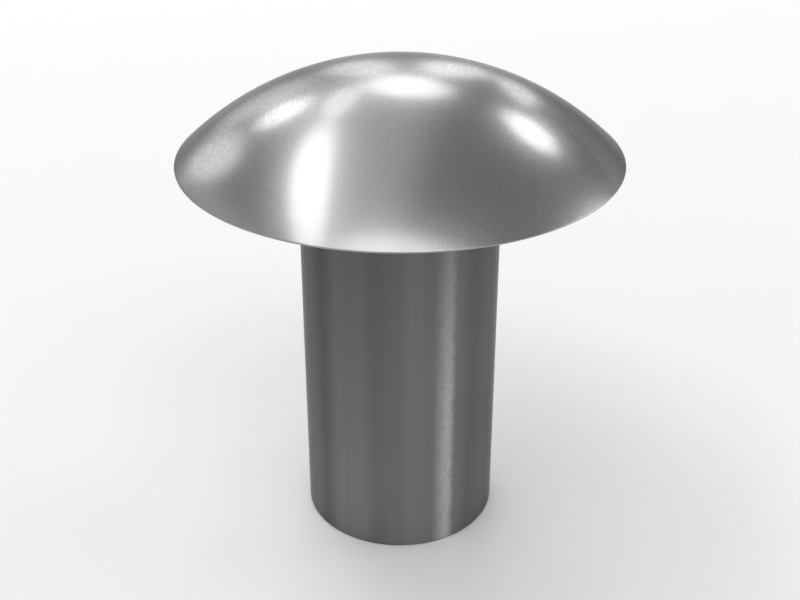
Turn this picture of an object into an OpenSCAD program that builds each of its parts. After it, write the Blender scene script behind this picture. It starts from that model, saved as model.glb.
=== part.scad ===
// Hollow rivet, headed and bored from one piece of steel wire.
// A domed head, a plain round shank, and a blind bore that opens at the tail,
// where the thin wall is rolled over when the rivet is set.
// The origin is the centre of the head's bearing face. +Z runs up through the
// crown of the head, and the shank runs down along -Z.

/* [Head] */
// Diameter of the domed head, over its rim
head_d = 13; // [11:0.1:16]
// Height of the crown above the bearing face
head_h = 2.65; // [1.8:0.05:4.5]
// Radius that takes the knife edge off the rim
rim_round = 0.03; // [0.02:0.01:0.3]

/* [Shank] */
// Diameter of the shank
shank_d = 6; // [5:0.1:8]
// Length of the shank, from the bearing face to the tail
shank_l = 12; // [8:0.5:24]
// Fillet where the shank runs into the bearing face
neck_round = 0.2; // [0.1:0.05:0.8]
// Radius on the outer corner of the tail
tail_round = 0.08; // [0.04:0.01:0.2]

/* [Bore] */
// Wall left round the bore, which sets the bore's diameter
wall = 0.75; // [0.5:0.05:1.2]
// Solid metal left between the bearing face and the point of the bore
bore_stop = 0.2; // [0.1:0.05:3]
// Full angle of the cone that ends the bore
bore_tip_angle = 118; // [90:1:150]
// Width of the bevel at the mouth of the bore
mouth_bevel = 0.1; // [0.05:0.01:0.2]

/* [Hidden] */
$fn = 128;

shank_r = shank_d / 2;
bore_r = shank_r - wall;
bore_tip_l = bore_r / tan(bore_tip_angle / 2);

// The rim's small arc touches the bearing face and the crown's large arc, and
// reaches out to head_d. The crown's radius follows from that and head_h.
rim_x = head_d / 2 - rim_round;
crown_r = (rim_x ^ 2 + head_h ^ 2 - 2 * head_h * rim_round) / (2 * (head_h - 2 * rim_round));
crown_z = head_h - crown_r;

// How far a cutting outline runs past what it cuts
over = 1;

// Every section below is one half of the rivet, drawn to the right of its axis.

// Unit vector from the crown's centre through the rim's, where both arcs touch
function rim_ray() = [rim_x, rim_round - crown_z] / (crown_r - rim_round);

module crown_section() {
    past_tangent = [0, crown_z] + (crown_r + over) * rim_ray();
    intersection() {
        translate([0, crown_z]) circle(r = crown_r);
        polygon([
            [0, 0],
            [rim_x, 0],
            [rim_x, rim_round],
            past_tangent,
            [past_tangent.x, head_h + over],
            [0, head_h + over]
        ]);
    }
}

module rim_section() {
    translate([rim_x, rim_round]) circle(r = rim_round);
}

module neck_section() {
    difference() {
        translate([shank_r, -neck_round]) square(neck_round);
        translate([shank_r + neck_round, -neck_round]) circle(r = neck_round);
    }
}

module tail_corner() {
    difference() {
        translate([shank_r - tail_round, -shank_l - over]) square([tail_round + over, tail_round + over]);
        translate([shank_r - tail_round, tail_round - shank_l]) circle(r = tail_round);
    }
}

module shank_section() {
    difference() {
        translate([0, -shank_l]) square([shank_r, shank_l]);
        tail_corner();
    }
}

module bore_section() {
    polygon([
        [0, -shank_l - over],
        [bore_r + mouth_bevel + over, -shank_l - over],
        [bore_r, mouth_bevel - shank_l],
        [bore_r, -bore_stop - bore_tip_l],
        [0, -bore_stop]
    ]);
}

module hollow_rivet() {
    color("silver")
    rotate_extrude()
    difference() {
        union() {
            crown_section();
            rim_section();
            neck_section();
            shank_section();
        }
        bore_section();
    }
}

hollow_rivet();
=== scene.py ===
# Hollow rivet standing on its tail: a fine revolved mesh in three steel finishes, on a sweep of white paper.
import math

import bmesh
import bpy
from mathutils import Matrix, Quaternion, Vector


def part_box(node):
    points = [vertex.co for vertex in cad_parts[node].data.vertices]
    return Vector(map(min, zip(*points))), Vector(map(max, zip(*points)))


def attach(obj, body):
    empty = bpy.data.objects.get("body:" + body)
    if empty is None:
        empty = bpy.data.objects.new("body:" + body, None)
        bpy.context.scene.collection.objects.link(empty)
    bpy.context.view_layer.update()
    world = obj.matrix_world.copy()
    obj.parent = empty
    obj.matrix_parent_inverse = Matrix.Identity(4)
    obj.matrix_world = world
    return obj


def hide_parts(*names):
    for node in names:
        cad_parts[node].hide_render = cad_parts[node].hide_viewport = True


mm = 0.001
perMillimetre = 1000  # a pattern of scale 1 repeats about once a metre, so this makes it once a millimetre

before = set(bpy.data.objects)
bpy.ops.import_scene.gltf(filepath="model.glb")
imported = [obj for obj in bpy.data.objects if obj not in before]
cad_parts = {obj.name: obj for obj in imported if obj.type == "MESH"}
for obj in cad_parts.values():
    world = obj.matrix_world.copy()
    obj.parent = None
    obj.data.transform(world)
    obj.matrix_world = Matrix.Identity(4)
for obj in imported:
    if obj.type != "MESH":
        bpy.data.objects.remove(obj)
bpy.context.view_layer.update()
low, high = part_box("hollow_rivet")
scene = bpy.context.scene
print("frame loaded", [round((high[i] - low[i]) / mm, 2) for i in range(3)], "mm")


def linear(hexColour):
    # sRGB hex to the linear colour that sockets hold
    parts = [int(hexColour[i:i + 2], 16) / 255 for i in (1, 3, 5)]
    return tuple(c / 12.92 if c < 0.04045 else ((c + 0.055) / 1.055) ** 2.4 for c in parts) + (1,)


def newMaterial(name):
    material = bpy.data.materials.new(name)
    material.use_nodes = True
    material.node_tree.nodes.clear()
    return material, material.node_tree


def addNode(tree, kind, links=(), inputs=(), **settings):
    # one node: its own settings, fixed input values, and links as {input: (node, output)}
    node = tree.nodes.new("ShaderNode" + kind)
    for key, value in settings.items():
        setattr(node, key, value)
    for key, value in dict(inputs).items():
        node.inputs[key].default_value = value
    for key, (source, output) in dict(links).items():
        tree.links.new(source.outputs[output], node.inputs[key])
    return node


# Sizes in mm. Overall ones come from the frame, so the piece fills the CAD model's box exactly.
rivet = {
    "headRadius": high.x / mm,
    "headHeight": high.z / mm,
    "shankLength": -low.z / mm,
    "shankRadius": 3.0,
    "boreRadius": 2.25,
    "rimRound": 0.03,
    "neckRound": 0.2,
    "tailRound": 0.08,
    "mouthBevel": 0.1,
    "boreStop": 0.2,
    "boreTipAngle": 118,
    "crownSteps": 72,
    "rimSteps": 12,
    "roundSteps": 8,
    "around": 256,  # faces in a full turn
    "edgeRow": 0.02,  # narrow rows of faces beside each rounding keep its shading off the flats
    "sharpAngle": 25,  # edges that turn more than this, in degrees, stay crisp
    "mergeDistance": 0.0005,
}


def swing(bm, tip, centre, turn, steps):
    # carries the outline's last point round a centre in the XZ plane; a positive turn goes clockwise
    made = bmesh.ops.spin(bm, geom=[tip], cent=(centre[0] * mm, 0, centre[1] * mm), axis=(0, 1, 0),
                          dvec=(0, 0, 0), angle=turn, steps=steps, use_merge=False,
                          use_normal_flip=False, use_duplicate=False)
    return [v for v in made["geom_last"] if isinstance(v, bmesh.types.BMVert)][0]


def draw(bm, tip, *points):
    # extrudes the outline's last point through each point in turn
    for x, z in points:
        tip = bmesh.ops.extrude_vert_indiv(bm, verts=[tip])["verts"][0]
        tip.co = Vector((x * mm, 0, z * mm))
    return tip


def rivetOutline(bm, r):
    rim, row = r["rimRound"], r["edgeRow"]
    rimX = r["headRadius"] - rim
    height = r["headHeight"]
    crownRadius = (rimX ** 2 + height ** 2 - 2 * height * rim) / (2 * (height - 2 * rim))
    crownZ = height - crownRadius
    crownTurn = math.atan2(rimX, rim - crownZ)  # from the axis to where the crown meets the rim
    rowTurn = row / crownRadius
    tip = bmesh.ops.create_vert(bm, co=(0, 0, height * mm))["vert"][0]
    tip = swing(bm, tip, (0, crownZ), crownTurn - rowTurn, r["crownSteps"])
    tip = swing(bm, tip, (0, crownZ), rowTurn, 1)
    tip = swing(bm, tip, (rimX, rim), math.pi - crownTurn, r["rimSteps"])

    neck = r["shankRadius"] + r["neckRound"]
    tip = draw(bm, tip, (rimX - row, 0), (neck + row, 0), (neck, 0))
    tip = swing(bm, tip, (neck, -r["neckRound"]), -math.pi / 2, r["roundSteps"])

    shank, tail, end = r["shankRadius"], r["tailRound"], -r["shankLength"]
    tip = draw(bm, tip, (shank, -r["neckRound"] - row), (shank, end + tail + row), (shank, end + tail))
    tip = swing(bm, tip, (shank - tail, end + tail), math.pi / 2, r["roundSteps"])

    bore, bevel = r["boreRadius"], r["mouthBevel"]
    boreTop = -r["boreStop"] - bore / math.tan(math.radians(r["boreTipAngle"] / 2))
    draw(bm, tip, (shank - tail - row, end), (bore + bevel, end), (bore, end + bevel), (bore, boreTop),
         (0, -r["boreStop"]))


def makeRivet():
    bm = bmesh.new()
    rivetOutline(bm, rivet)
    bmesh.ops.spin(bm, geom=bm.verts[:] + bm.edges[:], cent=(0, 0, 0), axis=(0, 0, 1), dvec=(0, 0, 0),
                   angle=2 * math.pi, steps=rivet["around"], use_merge=True,
                   use_normal_flip=False, use_duplicate=False)
    # closes the crown and the bore's point
    bmesh.ops.remove_doubles(bm, verts=bm.verts, dist=rivet["mergeDistance"] * mm)
    bmesh.ops.recalc_face_normals(bm, faces=bm.faces)
    head, shank, bore = range(3)  # the order of the materials below
    headEnd = -rivet["neckRound"] / 2
    boreEdge = rivet["boreRadius"] + rivet["mouthBevel"] / 2
    for face in bm.faces:
        face.smooth = True
        middle = face.calc_center_median() / mm
        if middle.z > headEnd:
            face.material_index = head
        elif math.hypot(middle.x, middle.y) > boreEdge:
            face.material_index = shank
        else:
            face.material_index = bore
    mesh = bpy.data.meshes.new("rivet")
    bm.to_mesh(mesh)
    bm.free()
    mesh.set_sharp_from_angle(angle=math.radians(rivet["sharpAngle"]))
    piece = bpy.data.objects.new("rivet", mesh)
    scene.collection.objects.link(piece)
    return piece


# Colours are what a white room would show. Sizes and heights are in mm, angles in degrees.
steel = {
    "headColour": "#A8A8A8",  # plain steel, a little dull from tumbling
    "headRoughness": 0.3,
    "rubbedRoughness": 0.08,  # where the tumbling has rubbed the high spots bright
    "rubbedSize": 0.008,  # finer than a pixel, so that both finishes blend into one highlight
    "rubbedNoise": (0.58, 0.64),  # from satin to rubbed: about a fifth of the noise lies above
    "edgeTint": "#9C9C9C",  # how far a grazing view is darkened, as it is on steel
    "grainSize": 0.1,
    "grainHeight": 0.002,
    "grainNoise": (0.4, 0.6),  # from its darkest to its lightest
    "grainTone": 0.1,
    "grainPull": 0.2,  # how much more or less of the surface is rubbed where the grain is light or dark
    "grainPlace": (-1.5, -0.2),  # from where to where, away from the front, the grain sets in
    "grainSides": 0.35,  # and what part of the distance to the side counts with it
    "grainLeast": 0.04,
    "shankShadedColour": "#707070",  # the drawn wire's skin, set darker than the head as painted shade for the shaded floor that it reflects
    "shankRoughness": 0.28,
    "shankEdgeTint": "#CACACA",
    "drawnOut": 0.03,  # bands and lines are this much closer across the shank than along it
    "bandSize": 1.5,
    "bandTone": 0.08,
    "lineSize": 0.14,
    "lineTone": 0.02,
    "raggedSize": 0.35,
    "raggedAngle": 0.8,
    "mottleSize": 0.11,
    "mottleTone": 0.2,
    "boreColour": "#8C8C8C",
    "boreRoughness": 0.34,
    "ringSize": 0.12,
    "ringDepth": 0.004,
    # Painted light on the shank by height, from the tail up: darker under the head, lighter near the tail.
    # Two heights, and the tone at each.
    "paintedLightByHeight": ((-11, -1, 1.25, 0.72), (-12, -8, 1.1, 1)),
    # Painted reflections down the shank, lighter and darker bands of the lit and shaded floor: where each
    # starts, peaks and ends, in degrees from the front towards +X, and how much it brightens or darkens the
    # skin there.
    "paintedReflectionBands": (
        (-90, -71, -58, -0.14),
        (-64, -49, -36, -0.31),
        (-46, -33, -20, -0.08),
        (-25, -14, -4, -0.12),
        (-2, 8, 22, 0.12),
        (12, 27, 44, 0.15),
        (35, 47, 62, -0.18),
        (56, 70, 90, -0.12),
    ),
    "paintedHighlightLine": (18, 29, 34.5, 1.19),  # a painted highlight line down the shank, mottled and a little ragged
    "paintedHighlightFade": (-7, -1.5, 1, 0.38),  # the painted highlight fades towards the head: two heights, and its strength at each
}


def headSteel():
    # Cold-headed steel, tumbled: a satin sheen, and spots rubbed bright, too fine to see one by one, that
    # give the highlights crisp cores. A fine grain breaks up their edges on the far side and at the sides.
    material, tree = newMaterial("head_tumbled_steel")
    place = addNode(tree, "TexCoord")
    axes = addNode(tree, "SeparateXYZ", {"Vector": (place, "Object")})
    side = addNode(tree, "Math", {0: (axes, "X")}, operation="ABSOLUTE")
    away = addNode(tree, "Math", {0: (side, "Value"), 2: (axes, "Y")}, {1: steel["grainSides"]},
                   operation="MULTIPLY_ADD")
    grainStart, grainFull = steel["grainPlace"]
    depth = addNode(tree, "MapRange", {"Value": (away, "Value")},
                    {"From Min": grainStart * mm, "From Max": grainFull * mm,
                     "To Min": steel["grainLeast"], "To Max": 1})
    grain = addNode(tree, "TexNoise", {"Vector": (place, "Object")},
                    {"Scale": perMillimetre / steel["grainSize"], "Detail": 2, "Roughness": 0.6})
    bump = addNode(tree, "Bump", {"Height": (grain, "Fac"), "Strength": (depth, "Result")},
                   {"Distance": steel["grainHeight"] * mm})
    darkest, lightest = steel["grainNoise"]
    patches = addNode(tree, "MapRange", {"Value": (grain, "Fac")},
                      {"From Min": darkest, "From Max": lightest,
                       "To Min": -steel["grainTone"], "To Max": steel["grainTone"]})
    patches = addNode(tree, "Math", {0: (patches, "Result"), 1: (depth, "Result")}, operation="MULTIPLY")
    tone = addNode(tree, "Math", {0: (patches, "Value")}, {1: 1}, operation="ADD")
    colour = addNode(tree, "HueSaturation", {"Value": (tone, "Value")},
                     {"Color": linear(steel["headColour"])})

    spots = addNode(tree, "TexNoise", {"Vector": (place, "Object")},
                    {"Scale": perMillimetre / steel["rubbedSize"], "Detail": 0})
    spots = addNode(tree, "Math", {0: (patches, "Value"), 2: (spots, "Fac")}, {1: steel["grainPull"]},
                    operation="MULTIPLY_ADD")
    satin, rubbedAndPaintedHighlight = steel["rubbedNoise"]
    rough = addNode(tree, "MapRange", {"Value": (spots, "Value")},
                    {"From Min": satin, "From Max": rubbedAndPaintedHighlight,
                     "To Min": steel["headRoughness"], "To Max": steel["rubbedRoughness"]})
    shader = addNode(tree, "BsdfPrincipled",
                     {"Base Color": (colour, "Color"), "Roughness": (rough, "Result"),
                      "Normal": (bump, "Normal")},
                     {"Metallic": 1, "Specular Tint": linear(steel["edgeTint"])})
    addNode(tree, "OutputMaterial", {"Surface": (shader, "BSDF")})
    return material


def addSpeckle(tree, where, size, middle, spread, detail=2, roughness=0.6):
    # noise of this size in mm, with values mostly within the spread on either side of the middle
    noise = addNode(tree, "TexNoise", {"Vector": where},
                    {"Scale": perMillimetre / size, "Detail": detail, "Roughness": roughness})
    return addNode(tree, "MapRange", {"Value": (noise, "Fac")},
                   {"From Min": 0.3, "From Max": 0.7, "To Min": middle - spread, "To Max": middle + spread})


def addRise(tree, height, rise):
    # between two heights, values from one to the other
    bottom, top, below, above = rise
    return addNode(tree, "MapRange", {"Value": height},
                   {"From Min": bottom * mm, "From Max": top * mm, "To Min": below, "To Max": above})


def addPaintedBand(tree, angle, paintedBand):
    # a painted band's gain at its peak, 0 outside it
    start, peak, end = [math.radians(degrees) for degrees in paintedBand[:3]]
    rise = addNode(tree, "MapRange", {"Value": angle},
                   {"From Min": start, "From Max": peak, "To Min": 0, "To Max": 1},
                   interpolation_type="SMOOTHSTEP")
    fall = addNode(tree, "MapRange", {"Value": angle},
                   {"From Min": peak, "From Max": end, "To Min": paintedBand[3], "To Max": 0},
                   interpolation_type="SMOOTHSTEP")
    return addNode(tree, "Math", {0: (rise, "Result"), 1: (fall, "Result")}, operation="MULTIPLY")


def shankSteel():
    # Drawn wire: a dull grey skin with soft bands and faint straight lines along the axis. Painted on it are
    # light and shade by height, reflection bands round it, and one painted highlight line, brighter towards
    # the tail.
    material, tree = newMaterial("shank_drawn_steel")
    place = addNode(tree, "TexCoord")
    axes = addNode(tree, "SeparateXYZ", {"Vector": (place, "Object")})
    front = addNode(tree, "Math", {0: (axes, "Y")}, {1: -1}, operation="MULTIPLY")
    angle = addNode(tree, "Math", {0: (axes, "X"), 1: (front, "Value")}, operation="ARCTAN2")

    drawn = addNode(tree, "Mapping", {"Vector": (place, "Object")}, {"Scale": (1, 1, steel["drawnOut"])})
    bands = addSpeckle(tree, (drawn, "Vector"), steel["bandSize"], 1, steel["bandTone"], 1, 0.4)
    lines = addSpeckle(tree, (drawn, "Vector"), steel["lineSize"], 1, steel["lineTone"])
    tone = addNode(tree, "Math", {0: (bands, "Result"), 1: (lines, "Result")}, operation="MULTIPLY")
    # Painted light: the shank is darker under the head and lighter towards the tail.
    for rise in steel["paintedLightByHeight"]:
        byHeight = addRise(tree, (axes, "Z"), rise)
        tone = addNode(tree, "Math", {0: (tone, "Value"), 1: (byHeight, "Result")}, operation="MULTIPLY")
    # Painted reflections: lighter and darker bands at fixed angles round the shank.
    for paintedBand in steel["paintedReflectionBands"]:
        gain = addPaintedBand(tree, (angle, "Value"), paintedBand)
        tone = addNode(tree, "Math", {0: (tone, "Value"), 1: (gain, "Value"), 2: (tone, "Value")},
                       operation="MULTIPLY_ADD")

    # A painted highlight: one bright line down the shank, ragged at its edges, mottled, and fading towards
    # the head.
    sway = math.radians(steel["raggedAngle"])
    ragged = addSpeckle(tree, (place, "Object"), steel["raggedSize"], 0, sway, 3, 0.7)
    raggedAngle = addNode(tree, "Math", {0: (angle, "Value"), 1: (ragged, "Result")}, operation="ADD")
    rubbedAndPaintedHighlight = addPaintedBand(tree, (raggedAngle, "Value"), steel["paintedHighlightLine"])
    fade = addRise(tree, (axes, "Z"), steel["paintedHighlightFade"])
    mottle = addSpeckle(tree, (place, "Object"), steel["mottleSize"], 1, steel["mottleTone"])
    for change in (fade, mottle):
        rubbedAndPaintedHighlight = addNode(tree, "Math", {0: (rubbedAndPaintedHighlight, "Value"), 1: (change, "Result")}, operation="MULTIPLY")
    tone = addNode(tree, "Math", {0: (tone, "Value"), 1: (rubbedAndPaintedHighlight, "Value"), 2: (tone, "Value")},
                   operation="MULTIPLY_ADD")
    # The shank's colour is darker than the head's steel: painted shade.
    colour = addNode(tree, "HueSaturation", {"Value": (tone, "Value")},
                     {"Color": linear(steel["shankShadedColour"])})
    shader = addNode(tree, "BsdfPrincipled", {"Base Color": (colour, "Color")},
                     {"Metallic": 1, "Roughness": steel["shankRoughness"],
                      "Specular Tint": linear(steel["shankEdgeTint"])})
    addNode(tree, "OutputMaterial", {"Surface": (shader, "BSDF")})
    return material


def boreSteel():
    # Drilled steel: close rings round the axis from the drill's lips, duller than the outside.
    material, tree = newMaterial("bore_drilled_steel")
    place = addNode(tree, "TexCoord")
    drilled = addNode(tree, "Mapping", {"Vector": (place, "Object")}, {"Scale": (0.05, 0.05, 1)})
    rings = addNode(tree, "TexNoise", {"Vector": (drilled, "Vector")},
                    {"Scale": perMillimetre / steel["ringSize"], "Detail": 2, "Roughness": 0.6})
    bump = addNode(tree, "Bump", {"Height": (rings, "Fac")},
                   {"Strength": 1, "Distance": steel["ringDepth"] * mm})
    shader = addNode(tree, "BsdfPrincipled", {"Normal": (bump, "Normal")},
                     {"Base Color": linear(steel["boreColour"]), "Metallic": 1,
                      "Roughness": steel["boreRoughness"]})
    addNode(tree, "OutputMaterial", {"Surface": (shader, "BSDF")})
    return material


piece = makeRivet()
for material in (headSteel(), shankSteel(), boreSteel()):
    piece.data.materials.append(material)
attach(piece, "root")
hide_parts("hollow_rivet")
print("rivet made", len(piece.data.polygons), "faces")


table = {
    "colour": "#F2F2F2",
    "radius": 0.55,  # of the flat part, in metres like the rest
    "sweep": 0.12,  # the radius of the curve at its edge
    "lip": 0.19,  # the paper stands up this high all round
    "paintedEdgeGlow": 0.19,  # painted light: the paper glows by itself where it sweeps up, far from the lamps
    "glowRise": 0.036,  # the height at which that glow is full
    "around": 64,
    "sweepSteps": 16,
}


def makeTable():
    # one round sheet of matt paper that curves up at its edge
    bm = bmesh.new()
    centre = bmesh.ops.create_vert(bm, co=(0, 0, low.z))["vert"][0]
    edge = bmesh.ops.extrude_vert_indiv(bm, verts=[centre])["verts"][0]
    edge.co = Vector((table["radius"], 0, low.z))
    made = bmesh.ops.spin(bm, geom=[edge], cent=(table["radius"], 0, low.z + table["sweep"]), axis=(0, 1, 0),
                          dvec=(0, 0, 0), angle=-math.pi / 2, steps=table["sweepSteps"], use_merge=False,
                          use_normal_flip=False, use_duplicate=False)
    top = [v for v in made["geom_last"] if isinstance(v, bmesh.types.BMVert)][0]
    end = bmesh.ops.extrude_vert_indiv(bm, verts=[top])["verts"][0]
    end.co = Vector((top.co.x, 0, low.z + table["lip"]))
    bmesh.ops.spin(bm, geom=bm.verts[:] + bm.edges[:], cent=(0, 0, 0), axis=(0, 0, 1), dvec=(0, 0, 0),
                   angle=2 * math.pi, steps=table["around"], use_merge=True,
                   use_normal_flip=False, use_duplicate=False)
    bmesh.ops.remove_doubles(bm, verts=bm.verts, dist=0.01 * mm)
    bmesh.ops.recalc_face_normals(bm, faces=bm.faces)
    for face in bm.faces:
        face.smooth = True
    mesh = bpy.data.meshes.new("table")
    bm.to_mesh(mesh)
    bm.free()
    sheet = bpy.data.objects.new("table", mesh)
    scene.collection.objects.link(sheet)
    material, tree = newMaterial("matt_paper")
    place = addNode(tree, "TexCoord")
    axes = addNode(tree, "SeparateXYZ", {"Vector": (place, "Object")})
    # Painted light: the paper glows by itself, from nothing at the floor to full where it sweeps up.
    glow = addNode(tree, "MapRange", {"Value": (axes, "Z")},
                   {"From Min": low.z, "From Max": low.z + table["glowRise"],
                    "To Min": 0, "To Max": table["paintedEdgeGlow"]})
    shader = addNode(tree, "BsdfPrincipled", {"Emission Strength": (glow, "Result")},
                     {"Base Color": linear(table["colour"]), "Roughness": 1, "Specular IOR Level": 0,
                      "Emission Color": (1, 1, 1, 1)})
    addNode(tree, "OutputMaterial", {"Surface": (shader, "BSDF")})
    mesh.materials.append(material)


room = {
    "colour": "#FFFFFF",
    "glow": 0.285,
    "lampDistance": 0.32,
    "softEdge": 1.4,  # a lamp's glow is halved at its given size, and gone at this many times it
}

# Each soft lamp: azimuth from the camera's side towards +X and elevation, both in degrees, width and height
# in metres, turn about its own axis in degrees, and glow, the brightness of its face where 1 is white.
lamps = {
    "backLamp": (178, 35.4, 0.102, 0.090, -40, 3.83),
    "backLeftLamp": (-152, 30.2, 0.072, 0.065, 36, 4.55),
    "backRightLamp": (143, 34.5, 0.091, 0.067, -20, 4.90),
    "farLeftLamp": (-138, 20.0, 0.156, 0.070, 54, 2.05),
    "glowLamp": (-163, 40.2, 0.043, 0.103, -31, 2.48),
    "lowLeftLamp": (-158, 12.6, 0.088, 0.104, -13, 1.83),
    "lowBackLeftLamp": (-174, 15.5, 0.052, 0.111, 5, 3.37),
    "lowBackRightLamp": (172, 14.3, 0.053, 0.106, -2, 4.86),
    "lowRightLamp": (161, 14.3, 0.036, 0.109, 31, 4.01),
    "rightSheet": (104, 21.9, 0.226, 0.104, -25, 2.80),
    "leftStrip": (-104, 61.8, 0.362, 0.070, 4, 3.46),
    "leftSheet": (-72, 34.9, 0.861, 0.098, 2, 0.47),
    "frontSheet": (10, 58.8, 0.351, 0.123, -24, 2.21),
    "ceilingStrip": (-156, 60.2, 0.216, 1.117, -26, 0.44),
}


def makeRoom():
    world = bpy.data.worlds.new("room")
    scene.world = world
    world.use_nodes = True
    tree = world.node_tree
    tree.nodes.clear()
    glow = addNode(tree, "Background", inputs={"Color": linear(room["colour"]), "Strength": room["glow"]})
    addNode(tree, "OutputWorld", {"Surface": (glow, "Background")})


def makeLamp(name, azimuth, elevation, width, height, turn, glow):
    a, e = math.radians(azimuth), math.radians(elevation)
    out = Vector((math.sin(a) * math.cos(e), -math.cos(a) * math.cos(e), math.sin(e)))
    data = bpy.data.lights.new(name, "AREA")
    data.shape = "ELLIPSE"
    data.size = width * room["softEdge"]
    data.size_y = height * room["softEdge"]
    data.energy = glow * math.pi * (math.pi / 4 * data.size * data.size_y)
    data.use_nodes = True
    tree = data.node_tree
    tree.nodes.clear()
    face = addNode(tree, "NewGeometry")
    fromMiddle = addNode(tree, "VectorMath", {0: (face, "Parametric")}, {1: (0.5, 0.5, 0)},
                         operation="SUBTRACT")
    radius = addNode(tree, "VectorMath", {0: (fromMiddle, "Vector")}, operation="LENGTH")
    fade = addNode(tree, "MapRange", {"Value": (radius, "Value")},
                   {"From Min": 1 / room["softEdge"] - 0.5, "From Max": 0.5, "To Min": 1, "To Max": 0},
                   interpolation_type="SMOOTHSTEP")
    shine = addNode(tree, "Emission", {"Strength": (fade, "Result")})
    addNode(tree, "OutputLight", {"Surface": (shine, "Emission")})
    lamp = bpy.data.objects.new(name, data)
    lamp.location = out * room["lampDistance"]
    lamp.rotation_mode = "QUATERNION"
    lamp.rotation_quaternion = (-out).to_track_quat("-Z", "Y") @ Quaternion((0, 0, 1), math.radians(turn))
    lamp.visible_camera = False
    scene.collection.objects.link(lamp)


view = {
    "distance": 38.909 * mm,  # from the point on the axis that the camera looks at
    "elevation": 28.45,
    "lookAt": -4.801 * mm,
    "lens": 56.63,
}


def makeCamera():
    data = bpy.data.cameras.new("camera")
    data.sensor_width = 36
    data.lens = view["lens"]
    data.clip_start = 1 * mm
    data.clip_end = 10
    camera = bpy.data.objects.new("camera", data)
    e = math.radians(view["elevation"])
    camera.location = (0, -view["distance"] * math.cos(e), view["lookAt"] + view["distance"] * math.sin(e))
    camera.rotation_euler = (math.pi / 2 - e, 0, 0)
    scene.collection.objects.link(camera)
    scene.camera = camera


makeTable()
makeRoom()
for name, settings in lamps.items():
    makeLamp(name, *settings)
makeCamera()
scene.view_settings.view_transform = "Standard"
print("table, lamps and camera made")
